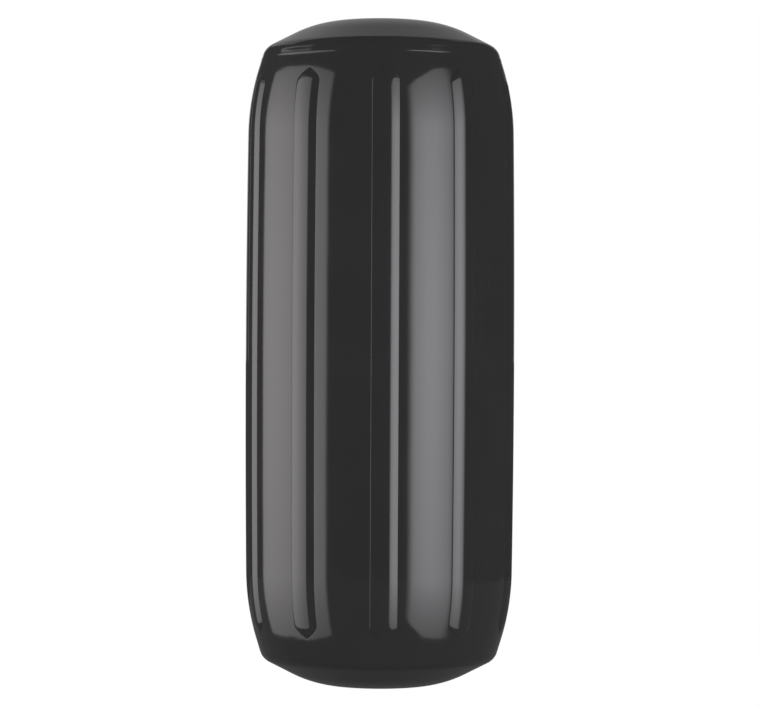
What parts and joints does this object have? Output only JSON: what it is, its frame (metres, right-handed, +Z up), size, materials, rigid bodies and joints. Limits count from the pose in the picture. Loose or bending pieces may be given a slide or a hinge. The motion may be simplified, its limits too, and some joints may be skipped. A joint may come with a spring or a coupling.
{
  "type": "pneumatic fender",
  "caption": "Upright ribbed inflatable boat fender of black vinyl with a rope tube through its middle and a needle valve in one end.",
  "frame": {"origin": "centre of the rope tube's upper mouth, in the plane of the upper end land", "axes": "+Z up along the rope tube, out of the upper mouth; +Y towards the side of the upper cone that holds the needle valve"},
  "size_m": [0.2038, 0.2084, 0.504],
  "materials": {
    "vinyl": "black inflated vinyl, glossy with a faint ripple",
    "rubber": "matt black valve rubber",
    "nylon": "satin black moulded nylon"
  },
  "bodies": {
    "root": {"fender_body": "vinyl", "valve_plug": "rubber", "valve_screw": "nylon"}
  },
  "joints": []
}
